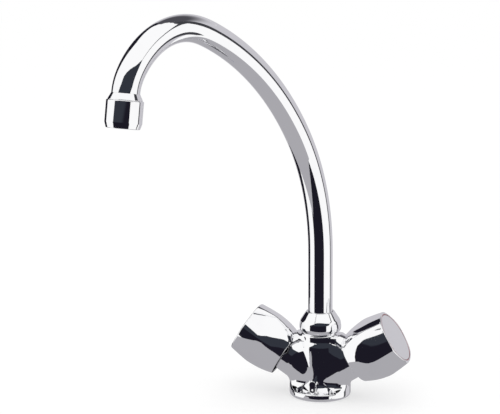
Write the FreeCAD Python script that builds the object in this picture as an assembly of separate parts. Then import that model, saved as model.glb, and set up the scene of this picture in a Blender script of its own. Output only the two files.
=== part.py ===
import FreeCAD, Part
import math
import os

# Two handle kitchen faucet, in millimetres, +Z up.
# The origin is the centre of the foot's underside, where it stands on the deck.
# +X runs under the hot arm, -X under the cold arm, and -Y is the front.
# Each arm's parts are turned about a local +Z that runs out along the arm, and each
# outlet part about a local +Z that runs down and out of the spout.

# ---- body casting ----
FOOT_RADIUS = 22.7
FOOT_WALL = 6.0
FOOT_LOWER_ROUND = 2.2
FOOT_UPPER_ROUND = 0.8
FLARE_RADIUS = 11.0
COLUMN_RADIUS = 14.5
SHOULDER_CLEARANCE = 4.7
SHOULDER_HEIGHT = 2.3
NECK_RADIUS = 12.5
NECK_TOP = 46.0
SPIGOT_RADIUS = 10.4
SPIGOT_HEIGHT = 6.5
CHAMBER_RADIUS = 7.0
CHAMBER_FLOOR = 24.0
CASTING_BLEND = 4.0

# ---- arms and valve seats, measured along each arm ----
ARM_RISE = 32.2
ARM_START_HEIGHT = 12.05
ARM_RADIUS = 12.8
ARM_ROOT_STEP = 0.1
ARM_LENGTH = 34.3
ARM_STRAIGHT = 7.3
ARM_WALL = 2.6
SEAT_FLOOR = 16.7
SUPPLY_PORT_RADIUS = 2.8

# ---- openings in the underside ----
INLET_THREAD_RADIUS = 4.46
INLET_DEPTH = 9.0
INLET_OFFSET_X = 8.5
INLET_OFFSET_Y = -3.0
STUD_THREAD_RADIUS = 3.4
STUD_DEPTH = 12.0
STUD_OFFSET_Y = 12.0
SEAL_INNER_RADIUS = 17.0
SEAL_WIDTH = 3.0
SEAL_THICKNESS = 2.0

# ---- chain eyelet on the front ----
EYELET_HEIGHT = 12.9
EYELET_SINK = 0.2
EYELET_BOSS_RADIUS = 2.7
EYELET_BOSS_LENGTH = 7.4
EYELET_EDGE_ROUND = 0.5
EYELET_STEM_RADIUS = 1.5
EYELET_STEM_LENGTH = 3.4
EYELET_RING_RADIUS = 2.1
EYELET_RING_DROP = 4.0
EYELET_RING_THICKNESS = 1.4
EYELET_HOLE_RADIUS = 0.9

# ---- spout ----
SPOUT_HEADING = 247.7
TUBE_RADIUS = 9.0
TUBE_WALL = 1.0
RISER_TOP = 108.4
LEAN_BEND_RADIUS = 161.5
LEAN_BEND_ANGLE = 33.8
REACH_BEND_RADIUS = 204.2
REACH_BEND_ANGLE = 35.2
CROWN_BEND_RADIUS = 58.2
CROWN_BEND_ANGLE = 78.6
MOUTH_BEND_RADIUS = 25.6
MOUTH_BEND_ANGLE = 24.0
FOOT_PLUG_RADIUS = 8.0
FOOT_PLUG_LENGTH = 17.0
FOOT_PLUG_BORE = 5.5
FOOT_SLEEVE_LENGTH = 10.0
COLLAR_RADIUS = 10.1
COLLAR_HEIGHT = 2.6
O_RING_DEPTH = 1.45
O_RING_FIRST = 4.0
O_RING_PITCH = 6.0
BEARING_THICKNESS = 1.0

# ---- spout nut ----
NUT_BOTTOM_RADIUS = 11.9
NUT_BELLY_RADIUS = 15.6
NUT_SHOULDER_RADIUS = 15.1
NUT_TOP_RADIUS = 10.4
NUT_CHAMFER_HEIGHT = 3.6
NUT_BELLY_HEIGHT = 6.5
NUT_CONE_HEIGHT = 7.1
NUT_EDGE_ROUND = 0.7

# ---- outlet and aerator, measured along the outlet ----
SOCKET_CONE_LENGTH = 4.3
SOCKET_STEP = 0.6
SOCKET_THREAD_LENGTH = 6.6
SOCKET_END_WALL = 1.9
HOUSING_RADIUS = 11.8
HOUSING_WALL = 1.35
HOUSING_LENGTH = 17.6
HOUSING_TAPER_DEPTH = 1.1
HOUSING_TAPER_LENGTH = 3.6
HOUSING_TOP_ROUND = 0.5
HOUSING_LIP_STEP = 0.55
HOUSING_LIP_LENGTH = 1.8
WASHER_THICKNESS = 1.6
WASHER_WIDTH = 2.4
INSERT_FLANGE = 1.4
INSERT_WALL = 1.0
INSERT_HOLES = 12
INSERT_HOLE_RADIUS = 0.8
INSERT_HOLE_INSET = 4.05
SCREEN_THICKNESS = 0.4
SCREEN_PITCH = 1.7
SCREEN_WIRE = 0.55

# ---- valve headpart, measured along each arm ----
SEAT_SEAL_THICKNESS = 1.8
SEAT_SEAL_BORE = 4.2
DISC_THICKNESS = 2.6
DISC_RIM = 2.2
DISC_PORT_LAND = 0.7
CAGE_GAP = 1.4
CAGE_WALL = 1.1
WINDOW_WIDTH = 7.0
SPINDLE_RADIUS = 4.0
SPINDLE_FOOT_STEP = 0.4
SPINDLE_FOOT_LENGTH = 3.0
SPINDLE_DOG_RADIUS = 1.0
SPINDLE_DOG_LENGTH = 1.4
SPINDLE_DOG_SPREAD = 55.0
SPINDLE_O_RING_DEPTH = 0.9
HEX_ACROSS_FLATS = 19.0
HEX_HEIGHT = 4.6
GUIDE_RADIUS = 6.9
GUIDE_HEIGHT = 7.4
HEADPART_O_RING_RADIUS = 0.6

# ---- handles, measured along each arm ----
SKIRT_OVERLAP = 2.8
SKIRT_GAP = 3.0
SKIRT_WALL = 2.2
SKIRT_LENGTH = 19.9
RIM_LENGTH = 16.0
RIM_RADIUS = 20.8
RIM_WALL = 1.9
RIM_ROUND = 0.5
BELLY_ROUND = 12.0
BELLY_EASE = 0.15
HANDLE_FLATS = 6
HANDLE_FLAT_STEP = 0.2
HANDLE_FLAT_ROUND = 1.4
HANDLE_TURN = 44.6
HANDLE_WALL = 3.7
CAVITY_TAPER = 14.0
END_WALL = 4.4
HUB_GAP = 2.7
HUB_WALL = 1.2
BUSH_WALL = 1.4
SPLINE_TEETH = 20
SPLINE_DEPTH = 0.5
SPLINE_LENGTH = 10.0
RECESS_DEPTH = 3.0
POCKET_WALL = 1.4
POCKET_DEPTH = 2.4
RING_WIDTH = 0.7
RING_SINK = 0.15
CAP_THICKNESS = 1.6
CAP_CROWN = 0.15
CAP_EDGE_ROUND = 0.35
CAP_CLIP_STEP = 2.1
CAP_CLIP_WALL = 1.2
SCREW_RADIUS = 1.6
SCREW_HEAD_RADIUS = 3.6
SCREW_HEAD_HEIGHT = 2.0
SCREW_LENGTH = 9.0
SCREW_SLOT_WIDTH = 0.9
SCREW_SLOT_DEPTH = 1.1

# ---- clearances ----
RUNNING_GAP = 0.05
FACE_GAP = 0.1
FIT_GAP = 0.05
OPEN_GAP = 0.3

# ---- places that follow from the sizes above ----
ARM_SINE = math.sin(math.radians(ARM_RISE))
ARM_COSINE = math.cos(math.radians(ARM_RISE))
ARM_SEAM_TOP = ARM_START_HEIGHT + (COLUMN_RADIUS * ARM_SINE + ARM_RADIUS) / ARM_COSINE
COLUMN_TOP = ARM_SEAM_TOP + SHOULDER_CLEARANCE
NECK_BASE = COLUMN_TOP + SHOULDER_HEIGHT
SPIGOT_TOP = NECK_TOP + SPIGOT_HEIGHT
BODY_BORE_RADIUS = FOOT_PLUG_RADIUS + RUNNING_GAP
COLLAR_BOTTOM = SPIGOT_TOP + BEARING_THICKNESS + FACE_GAP
COLLAR_TOP = COLLAR_BOTTOM + COLLAR_HEIGHT
PLUG_BOTTOM = COLLAR_BOTTOM - FOOT_PLUG_LENGTH
BODY_BORE_FLOOR = PLUG_BOTTOM - OPEN_GAP
NUT_BOTTOM = NECK_TOP + OPEN_GAP
NUT_SHOULDER = COLLAR_TOP + FACE_GAP + BEARING_THICKNESS
NUT_BORE = SPIGOT_RADIUS + FIT_GAP
TUBE_BORE = TUBE_RADIUS - TUBE_WALL
SPOUT_BENDS = (
    (LEAN_BEND_RADIUS, LEAN_BEND_ANGLE),
    (REACH_BEND_RADIUS, REACH_BEND_ANGLE),
    (CROWN_BEND_RADIUS, CROWN_BEND_ANGLE),
    (MOUTH_BEND_RADIUS, MOUTH_BEND_ANGLE),
)
HOUSING_BORE = HOUSING_RADIUS - HOUSING_WALL
SOCKET_RADIUS = HOUSING_RADIUS - SOCKET_STEP
SOCKET_THREAD_RADIUS = HOUSING_BORE - FIT_GAP
SOCKET_END_BORE = SOCKET_THREAD_RADIUS - SOCKET_END_WALL
SOCKET_END = SOCKET_CONE_LENGTH + SOCKET_THREAD_LENGTH
HOUSING_START = SOCKET_CONE_LENGTH + FIT_GAP
HOUSING_END = HOUSING_START + HOUSING_LENGTH
INSERT_TOP = SOCKET_END + WASHER_THICKNESS
WASHER_RADIUS = HOUSING_BORE - FIT_GAP
INSERT_BODY_RADIUS = HOUSING_BORE - INSERT_WALL
INSERT_HOLE_CIRCLE = INSERT_BODY_RADIUS - INSERT_HOLE_INSET
HOUSING_LIP_BORE = INSERT_BODY_RADIUS - HOUSING_LIP_STEP
HOUSING_STEP = INSERT_TOP + INSERT_FLANGE
LIP_TOP = HOUSING_END - HOUSING_LIP_LENGTH
SCREEN_TOP = LIP_TOP - SCREEN_THICKNESS
ARM_TAPER_END = ARM_LENGTH - ARM_STRAIGHT
HEADPART_BORE_RADIUS = ARM_RADIUS - ARM_WALL
THREAD_RADIUS = HEADPART_BORE_RADIUS - FIT_GAP
CAGE_RADIUS = HEADPART_BORE_RADIUS - CAGE_GAP
CAGE_BORE = CAGE_RADIUS - CAGE_WALL
DISC_RADIUS = CAGE_BORE - FIT_GAP
DISC_PORT_RADIUS = DISC_RADIUS - DISC_RIM
DISC_BOTTOM = SEAT_FLOOR + SEAT_SEAL_THICKNESS
MOVING_DISC_BOTTOM = DISC_BOTTOM + DISC_THICKNESS + FACE_GAP
SPINDLE_BOTTOM = MOVING_DISC_BOTTOM + DISC_THICKNESS
SPINDLE_SHOULDER = SPINDLE_BOTTOM + SPINDLE_FOOT_LENGTH
SPINDLE_FOOT_RADIUS = DISC_RADIUS - SPINDLE_FOOT_STEP
SPINDLE_O_RING_HEIGHT = ARM_LENGTH + HEX_HEIGHT / 2
HEX_TOP = ARM_LENGTH + HEX_HEIGHT
GUIDE_TOP = HEX_TOP + GUIDE_HEIGHT
HANDLE_SKIRT = ARM_LENGTH - SKIRT_OVERLAP
HANDLE_BELLY = HANDLE_SKIRT + SKIRT_LENGTH
HANDLE_RIM = HANDLE_BELLY + RIM_LENGTH
HANDLE_FLAT_DISTANCE = RIM_RADIUS + HANDLE_FLAT_STEP
BELLY_RADIUS = HANDLE_FLAT_DISTANCE / math.cos(math.pi / HANDLE_FLATS) - BELLY_EASE
SKIRT_BORE = ARM_RADIUS + SKIRT_GAP
SKIRT_RADIUS = SKIRT_BORE + SKIRT_WALL
CAVITY_RADIUS = HANDLE_FLAT_DISTANCE - HANDLE_WALL
RECESS_RADIUS = RIM_RADIUS - RIM_WALL
RECESS_FLOOR = HANDLE_RIM - RECESS_DEPTH
CAVITY_TOP = RECESS_FLOOR - END_WALL
POCKET_FLOOR = RECESS_FLOOR - POCKET_DEPTH
POCKET_RADIUS = SCREW_HEAD_RADIUS + POCKET_WALL
HUB_BOTTOM = GUIDE_TOP + HUB_GAP
BUSH_RADIUS = SPINDLE_RADIUS + BUSH_WALL
SPINDLE_TOP = CAVITY_TOP - 2 * FACE_GAP
SPLINE_BOTTOM = SPINDLE_TOP - SPLINE_LENGTH
SCREW_TIP = POCKET_FLOOR - SCREW_LENGTH
RING_OUTER = RECESS_RADIUS - FIT_GAP
RING_INNER = RING_OUTER - RING_WIDTH
CAP_RADIUS = RING_INNER - FIT_GAP
EYELET_SEAT = COLUMN_RADIUS - EYELET_SINK


def point(radius, height):
    """A point of a turned outline: its distance from the axis and its height."""
    return FreeCAD.Vector(radius, 0, height)


def outline_face(start, *steps):
    """A face whose outline is straight steps, or arcs where a step is (middle, end)."""
    edges = []
    here = point(*start)
    for step in steps + (start,):
        if isinstance(step[0], tuple):
            middle, there = point(*step[0]), point(*step[1])
            edges.append(Part.Arc(here, middle, there).toShape())
        else:
            there = point(*step)
            if here.distanceToPoint(there) < 1e-6:
                continue
            edges.append(Part.LineSegment(here, there).toShape())
        here = there
    return Part.Face(Part.Wire(edges))


def turned(start, *steps):
    """The solid that the outline makes when it turns once round the Z axis."""
    return outline_face(start, *steps).revolve(FreeCAD.Vector(), FreeCAD.Vector(0, 0, 1), 360)


def rod(radius, low, high, x=0.0, y=0.0):
    """An upright cylinder from one height to another."""
    return Part.makeCylinder(radius, high - low, FreeCAD.Vector(x, y, low))


def sleeve(outer, inner, low, high):
    """An upright tube."""
    return rod(outer, low, high).cut(rod(inner, low, high))


def ring(centre_radius, section_radius, height):
    """A round-sectioned ring lying flat."""
    return Part.makeTorus(centre_radius, section_radius, FreeCAD.Vector(0, 0, height))


def prism(sides, flat_distance, low, high, turn=0.0):
    """An upright prism with equal sides, the first vertex at the given turn."""
    radius = flat_distance / math.cos(math.pi / sides)
    corners = []
    for index in range(sides + 1):
        angle = math.radians(turn) + 2 * math.pi * index / sides
        corners.append(FreeCAD.Vector(radius * math.cos(angle), radius * math.sin(angle), low))
    face = Part.Face(Part.makePolygon(corners))
    return face.extrude(FreeCAD.Vector(0, 0, high - low))


def drilled(start, end, radius):
    """A straight hole between two points."""
    return Part.makeCylinder(radius, (end - start).Length, start, end - start)


def arc_point(centre, radius, degrees):
    """A point of an outline's arc."""
    angle = math.radians(degrees)
    return (centre[0] + radius * math.cos(angle), centre[1] + radius * math.sin(angle))


def arc_step(centre, radius, first, last):
    """The arc step of an outline from one angle to another, in degrees."""
    return (arc_point(centre, radius, (first + last) / 2), arc_point(centre, radius, last))


def on_arm(shape, side):
    """Lays a part that was made upright along the hot (+1) or cold (-1) arm."""
    turn = FreeCAD.Rotation(FreeCAD.Vector(0, 1, 0), side * (90 - ARM_RISE))
    placed = shape.copy()
    placed.Placement = FreeCAD.Placement(FreeCAD.Vector(0, 0, ARM_START_HEIGHT), turn)
    return placed


def arm_point(side, distance):
    """A point on an arm's axis."""
    height = ARM_START_HEIGHT + distance * ARM_SINE
    return FreeCAD.Vector(side * distance * ARM_COSINE, 0, height)


# ---- spout route, drawn with +X towards the outlet ----
def spout_route():
    """The tube's centre line from the collar up: a riser and then tangent arcs."""
    here = point(0, COLLAR_TOP)
    there = point(0, RISER_TOP)
    edges = [Part.LineSegment(here, there).toShape()]
    lean = 0.0
    for radius, degrees in SPOUT_BENDS:
        turn = math.radians(degrees)
        marks = []
        for share in (0.5, 1.0):
            angle = lean + turn * share
            across = radius * (math.cos(lean) - math.cos(angle))
            up = radius * (math.sin(angle) - math.sin(lean))
            marks.append(there + FreeCAD.Vector(across, 0, up))
        edges.append(Part.Arc(there, marks[0], marks[1]).toShape())
        there = marks[1]
        lean += turn
    return Part.Wire(edges), there, math.degrees(lean)


def faced(shape):
    """Turns a spout part to the heading that the spout rests at."""
    placed = shape.copy()
    placed.rotate(FreeCAD.Vector(), FreeCAD.Vector(0, 0, 1), SPOUT_HEADING)
    return placed


def at_outlet(shape):
    """Puts a part that was made upright at the spout's end, pointing out of it."""
    end, lean = spout_route()[1:]
    placed = shape.copy()
    placed.Placement = FreeCAD.Placement(end, FreeCAD.Rotation(FreeCAD.Vector(0, 1, 0), lean))
    return faced(placed)


# ---- root: the body casting and what stays with it ----
def casting_core():
    """The foot, its flare, the column and the neck, as one turned solid."""
    flare_x = COLUMN_RADIUS + FLARE_RADIUS
    rim_x = FOOT_RADIUS - FOOT_UPPER_ROUND
    flare_end = math.degrees(math.acos((flare_x - rim_x) / FLARE_RADIUS))
    flare_z = FOOT_WALL + FLARE_RADIUS * math.sin(math.radians(flare_end))
    low_centre = (FOOT_RADIUS - FOOT_LOWER_ROUND, FOOT_LOWER_ROUND)
    high_centre = (rim_x, FOOT_WALL - FOOT_UPPER_ROUND)
    return turned(
        (0, 0),
        (low_centre[0], 0),
        arc_step(low_centre, FOOT_LOWER_ROUND, -90, 0),
        (FOOT_RADIUS, high_centre[1]),
        arc_step(high_centre, FOOT_UPPER_ROUND, 0, 90),
        arc_step((flare_x, flare_z), FLARE_RADIUS, 180 + flare_end, 180),
        (COLUMN_RADIUS, COLUMN_TOP),
        (NECK_RADIUS, NECK_BASE),
        (NECK_RADIUS, NECK_TOP),
        (SPIGOT_RADIUS, NECK_TOP),
        (SPIGOT_RADIUS, SPIGOT_TOP),
        (0, SPIGOT_TOP),
    )


def casting_arm(side):
    """One arm's outside: as wide as the column at its root, tapering to a round end."""
    arm = turned(
        (0, 0),
        (COLUMN_RADIUS + ARM_ROOT_STEP, 0),
        (ARM_RADIUS, ARM_TAPER_END),
        (ARM_RADIUS, ARM_LENGTH),
        (0, ARM_LENGTH),
    )
    width = 2 * (ARM_LENGTH + COLUMN_RADIUS)
    under_deck = Part.makeBox(2 * width, width, width, FreeCAD.Vector(-width, -width / 2, -width))
    return on_arm(arm, side).cut(under_deck)


def casting_blank():
    """The casting's outside, with the seams where the arms leave it blended."""
    blank = casting_core()
    for side in (1, -1):
        blank = blank.fuse(casting_arm(side))
    blank = blank.removeSplitter()
    seams = [edge for edge in blank.Edges if isinstance(edge.Curve, Part.BSplineCurve)]
    return blank.makeFillet(CASTING_BLEND, seams)


def seal_band():
    """The flat ring in the underside, as a solid."""
    return sleeve(SEAL_INNER_RADIUS + SEAL_WIDTH, SEAL_INNER_RADIUS, 0, SEAL_THICKNESS)


def mixer_body():
    """The casting, bored for the spout, the headparts, the supplies and the stud."""
    body = casting_blank()
    body = body.cut(rod(BODY_BORE_RADIUS, BODY_BORE_FLOOR, SPIGOT_TOP))
    body = body.cut(rod(CHAMBER_RADIUS, CHAMBER_FLOOR, BODY_BORE_FLOOR))
    body = body.cut(rod(STUD_THREAD_RADIUS, 0, STUD_DEPTH, 0, STUD_OFFSET_Y))
    body = body.cut(seal_band())
    for side in (1, -1):
        body = body.cut(on_arm(rod(HEADPART_BORE_RADIUS, SEAT_FLOOR, ARM_LENGTH), side))
        inlet_x = side * INLET_OFFSET_X
        body = body.cut(rod(INLET_THREAD_RADIUS, 0, INLET_DEPTH, inlet_x, INLET_OFFSET_Y))
        supply = FreeCAD.Vector(inlet_x, INLET_OFFSET_Y, INLET_DEPTH - SUPPLY_PORT_RADIUS)
        body = body.cut(drilled(supply, arm_point(side, SEAT_FLOOR + FIT_GAP), SUPPLY_PORT_RADIUS))
    body = body.cut(on_front(rod(EYELET_STEM_RADIUS, -EYELET_STEM_LENGTH, 0)))
    return body.cut(on_front(rod(EYELET_BOSS_RADIUS + FIT_GAP, 0, EYELET_BOSS_LENGTH)))


def on_front(shape):
    """Lays an upright part against the column's front, pointing away from it."""
    placed = shape.copy()
    out = FreeCAD.Rotation(FreeCAD.Vector(1, 0, 0), 90)
    placed.Placement = FreeCAD.Placement(FreeCAD.Vector(0, -EYELET_SEAT, EYELET_HEIGHT), out)
    return placed


def chain_eyelet():
    """A round boss on a stem, with a holed tab that hangs from its front."""
    eyelet = rod(EYELET_BOSS_RADIUS, 0, EYELET_BOSS_LENGTH)
    front = [edge for edge in eyelet.Edges if edge.BoundBox.ZMin > EYELET_BOSS_LENGTH / 2]
    eyelet = eyelet.makeFillet(EYELET_EDGE_ROUND, front)
    eyelet = eyelet.fuse(rod(EYELET_STEM_RADIUS - FIT_GAP, -EYELET_STEM_LENGTH + OPEN_GAP, 0))
    tab_back = EYELET_BOSS_LENGTH - EYELET_RING_THICKNESS
    tab = rod(EYELET_RING_RADIUS, tab_back, EYELET_BOSS_LENGTH, 0, -EYELET_RING_DROP)
    web = Part.makeBox(2 * EYELET_RING_RADIUS, EYELET_RING_DROP, EYELET_RING_THICKNESS,
                       FreeCAD.Vector(-EYELET_RING_RADIUS, -EYELET_RING_DROP, tab_back))
    eyelet = eyelet.fuse(tab).fuse(web)
    hole = rod(EYELET_HOLE_RADIUS, 0, EYELET_BOSS_LENGTH, 0, -EYELET_RING_DROP)
    return on_front(eyelet.cut(hole).removeSplitter())


def spout_nut():
    """The round union nut that holds the spout's collar down."""
    belly_low = NUT_BOTTOM + NUT_CHAMFER_HEIGHT
    belly_high = belly_low + NUT_BELLY_HEIGHT
    nut_top = belly_high + NUT_CONE_HEIGHT
    outside = turned(
        (0, NUT_BOTTOM),
        (NUT_BOTTOM_RADIUS, NUT_BOTTOM),
        (NUT_BELLY_RADIUS, belly_low),
        (NUT_SHOULDER_RADIUS, belly_high),
        (NUT_TOP_RADIUS, nut_top),
        (0, nut_top),
    )
    corners = [edge for edge in outside.Edges if belly_low - 1e-3 < edge.BoundBox.ZMin]
    corners = [edge for edge in corners if edge.BoundBox.ZLength < 1e-3]
    outside = outside.makeFillet(NUT_EDGE_ROUND, corners)
    outside = outside.cut(rod(NUT_BORE, NUT_BOTTOM, NUT_SHOULDER))
    return outside.cut(rod(TUBE_RADIUS + OPEN_GAP, NUT_SHOULDER, nut_top))


def spout_slide_ring():
    """The ring that slides between the collar and the nut."""
    top = NUT_SHOULDER
    return sleeve(COLLAR_RADIUS, TUBE_RADIUS + OPEN_GAP, top - BEARING_THICKNESS, top)


def spout_bearing_washer():
    """The washer that carries the collar on the body."""
    inner = BODY_BORE_RADIUS + OPEN_GAP
    return sleeve(COLLAR_RADIUS, inner, SPIGOT_TOP, SPIGOT_TOP + BEARING_THICKNESS)


# ---- spout ----
def o_ring_height(index):
    """The middle of one of the spout foot's two grooves."""
    return PLUG_BOTTOM + O_RING_FIRST + index * O_RING_PITCH


def spout_foot():
    """The turned piece that seals the tube in the body and carries the collar."""
    foot = rod(FOOT_PLUG_RADIUS, PLUG_BOTTOM, COLLAR_BOTTOM)
    foot = foot.fuse(rod(COLLAR_RADIUS, COLLAR_BOTTOM, COLLAR_TOP))
    sleeve_top = COLLAR_TOP + FOOT_SLEEVE_LENGTH
    foot = foot.fuse(rod(TUBE_BORE - FIT_GAP, COLLAR_TOP, sleeve_top))
    for index in range(2):
        low = o_ring_height(index) - O_RING_DEPTH / 2
        groove = sleeve(
            FOOT_PLUG_RADIUS,
            FOOT_PLUG_RADIUS - O_RING_DEPTH,
            low,
            low + O_RING_DEPTH,
        )
        foot = foot.cut(groove)
    return faced(foot.cut(rod(FOOT_PLUG_BORE, PLUG_BOTTOM, sleeve_top)).removeSplitter())


def spout_o_ring(index):
    """The O-ring in one of the spout foot's grooves."""
    middle = FOOT_PLUG_RADIUS - O_RING_DEPTH / 2
    return faced(ring(middle, O_RING_DEPTH / 2 - FIT_GAP / 2, o_ring_height(index)))


def spout_tube():
    """The bent tube, swept along its centre line."""
    route = spout_route()[0]
    start = FreeCAD.Vector(0, 0, COLLAR_TOP)
    upward = FreeCAD.Vector(0, 0, 1)
    outer = Part.Face(Part.Wire(Part.Circle(start, upward, TUBE_RADIUS).toShape()))
    inner = Part.Face(Part.Wire(Part.Circle(start, upward, TUBE_BORE).toShape()))
    return faced(route.makePipe(outer).cut(route.makePipe(inner)))


def outlet_socket():
    """The flared end that is brazed to the tube and threaded for the aerator."""
    return at_outlet(turned(
        (TUBE_BORE, 0),
        (TUBE_RADIUS, 0),
        (SOCKET_RADIUS, SOCKET_CONE_LENGTH),
        (SOCKET_THREAD_RADIUS, SOCKET_CONE_LENGTH),
        (SOCKET_THREAD_RADIUS, SOCKET_END),
        (SOCKET_END_BORE, SOCKET_END),
        (SOCKET_END_BORE, SOCKET_CONE_LENGTH),
    ))


def aerator_housing():
    """The sleeve screwed on the socket, tapered and lipped at the mouth."""
    taper_start = HOUSING_END - HOUSING_TAPER_LENGTH
    housing = turned(
        (HOUSING_BORE, HOUSING_START),
        (HOUSING_RADIUS - HOUSING_TOP_ROUND, HOUSING_START),
        arc_step((HOUSING_RADIUS - HOUSING_TOP_ROUND, HOUSING_START + HOUSING_TOP_ROUND),
                 HOUSING_TOP_ROUND, -90, 0),
        (HOUSING_RADIUS, taper_start),
        (HOUSING_RADIUS - HOUSING_TAPER_DEPTH, HOUSING_END),
        (HOUSING_LIP_BORE, HOUSING_END),
        (HOUSING_LIP_BORE, LIP_TOP),
        (INSERT_BODY_RADIUS + FIT_GAP, LIP_TOP),
        (INSERT_BODY_RADIUS + FIT_GAP, HOUSING_STEP),
        (HOUSING_BORE, HOUSING_STEP),
    )
    return at_outlet(housing)


def aerator_washer():
    """The flat washer that seals the aerator against the socket."""
    inner = WASHER_RADIUS - WASHER_WIDTH
    return at_outlet(sleeve(WASHER_RADIUS, inner, SOCKET_END, INSERT_TOP))


def aerator_insert():
    """A flanged cup whose floor is drilled with a ring of jet holes."""
    insert = rod(WASHER_RADIUS, INSERT_TOP, HOUSING_STEP)
    insert = insert.fuse(sleeve(INSERT_BODY_RADIUS, INSERT_BODY_RADIUS - INSERT_WALL,
                                HOUSING_STEP, SCREEN_TOP))
    for index in range(INSERT_HOLES):
        angle = 2 * math.pi * index / INSERT_HOLES
        x = INSERT_HOLE_CIRCLE * math.cos(angle)
        y = INSERT_HOLE_CIRCLE * math.sin(angle)
        insert = insert.cut(rod(INSERT_HOLE_RADIUS, INSERT_TOP, HOUSING_STEP, x, y))
    return at_outlet(insert)


def aerator_screen():
    """The wire mesh across the mouth, as one holed disc."""
    screen = rod(INSERT_BODY_RADIUS, SCREEN_TOP, LIP_TOP)
    hole = SCREEN_PITCH - SCREEN_WIRE
    open_radius = INSERT_BODY_RADIUS - INSERT_WALL
    count = int(open_radius / SCREEN_PITCH)
    holes = []
    for column in range(-count, count + 1):
        for row in range(-count, count + 1):
            x, y = column * SCREEN_PITCH, row * SCREEN_PITCH
            if math.hypot(abs(x) + hole / 2, abs(y) + hole / 2) < open_radius:
                corner = FreeCAD.Vector(x - hole / 2, y - hole / 2, SCREEN_TOP)
                holes.append(Part.makeBox(hole, hole, SCREEN_THICKNESS, corner))
    return at_outlet(screen.cut(Part.makeCompound(holes)))


# ---- valve headpart that stays in each arm ----
def seat_seal(side):
    """The rubber ring under the ceramic discs."""
    seal = sleeve(CAGE_RADIUS, SEAT_SEAL_BORE, SEAT_FLOOR, DISC_BOTTOM)
    return on_arm(seal, side)


def half_port(low, high, side):
    """The half-round port of a ceramic disc, on the given side of its middle."""
    port = rod(DISC_PORT_RADIUS, low, high)
    width = 2 * DISC_PORT_RADIUS
    land_x = -width if side > 0 else -DISC_PORT_LAND
    land = Part.makeBox(width + DISC_PORT_LAND, width, high - low,
                        FreeCAD.Vector(land_x, -width / 2, low))
    return port.cut(land)


def fixed_disc(side):
    """The ceramic disc that stays still."""
    top = DISC_BOTTOM + DISC_THICKNESS
    disc = rod(DISC_RADIUS, DISC_BOTTOM, top)
    return on_arm(disc.cut(half_port(DISC_BOTTOM, top, 1)), side)


def headpart_body(side):
    """The brass bonnet: a windowed cage, a thread, a hexagon and the spindle guide."""
    neck_start = ARM_LENGTH - 2 * HEADPART_O_RING_RADIUS
    neck_radius = THREAD_RADIUS - 2 * HEADPART_O_RING_RADIUS
    guide_bore = SPINDLE_RADIUS + RUNNING_GAP
    cage_top = SPINDLE_SHOULDER + FACE_GAP
    bonnet = turned(
        (CAGE_BORE, DISC_BOTTOM),
        (CAGE_RADIUS, DISC_BOTTOM),
        (CAGE_RADIUS, SPINDLE_SHOULDER),
        (THREAD_RADIUS, SPINDLE_SHOULDER),
        (THREAD_RADIUS, neck_start),
        (neck_radius, neck_start),
        (neck_radius, HEX_TOP),
        (GUIDE_RADIUS, HEX_TOP),
        (GUIDE_RADIUS, GUIDE_TOP),
        (guide_bore, GUIDE_TOP),
        (guide_bore, cage_top),
        (CAGE_BORE, cage_top),
    )
    hexagon = prism(6, HEX_ACROSS_FLATS / 2, ARM_LENGTH, HEX_TOP)
    hexagon = hexagon.cut(rod(guide_bore, ARM_LENGTH, HEX_TOP))
    bonnet = bonnet.fuse(hexagon)
    window = Part.makeBox(4 * CAGE_RADIUS, WINDOW_WIDTH, SPINDLE_FOOT_LENGTH,
                          FreeCAD.Vector(-2 * CAGE_RADIUS, -WINDOW_WIDTH / 2, SPINDLE_BOTTOM))
    return on_arm(bonnet.cut(window).removeSplitter(), side)


def headpart_o_ring(side):
    """The O-ring under the headpart's hexagon."""
    middle = THREAD_RADIUS - HEADPART_O_RING_RADIUS
    section = HEADPART_O_RING_RADIUS - FIT_GAP / 2
    return on_arm(ring(middle, section, ARM_LENGTH - HEADPART_O_RING_RADIUS), side)


# ---- what turns with each handle ----
def drive_dogs(low, high, radius):
    """The spindle's two pegs, or the notches that they sit in, on the disc's solid side."""
    circle = SPINDLE_FOOT_RADIUS - SPINDLE_DOG_RADIUS - FACE_GAP
    spread = math.radians(SPINDLE_DOG_SPREAD)
    x, y = circle * math.cos(spread), circle * math.sin(spread)
    return rod(radius, low, high, x, y).fuse(rod(radius, low, high, x, -y))


def moving_disc(side):
    """The ceramic disc that the spindle turns."""
    top = MOVING_DISC_BOTTOM + DISC_THICKNESS
    disc = rod(DISC_RADIUS, MOVING_DISC_BOTTOM, top)
    disc = disc.cut(half_port(MOVING_DISC_BOTTOM, top, -1))
    notch_low = top - SPINDLE_DOG_LENGTH - FIT_GAP
    return on_arm(disc.cut(drive_dogs(notch_low, top, SPINDLE_DOG_RADIUS + FIT_GAP)), side)


def splined_rod(tip_radius, low, high):
    """A rod with even triangular teeth along it."""
    corners = []
    for index in range(2 * SPLINE_TEETH + 1):
        radius = tip_radius - SPLINE_DEPTH * (index % 2)
        angle = math.pi * index / SPLINE_TEETH
        corners.append(FreeCAD.Vector(radius * math.cos(angle), radius * math.sin(angle), low))
    face = Part.Face(Part.makePolygon(corners))
    return face.extrude(FreeCAD.Vector(0, 0, high - low))


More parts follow.
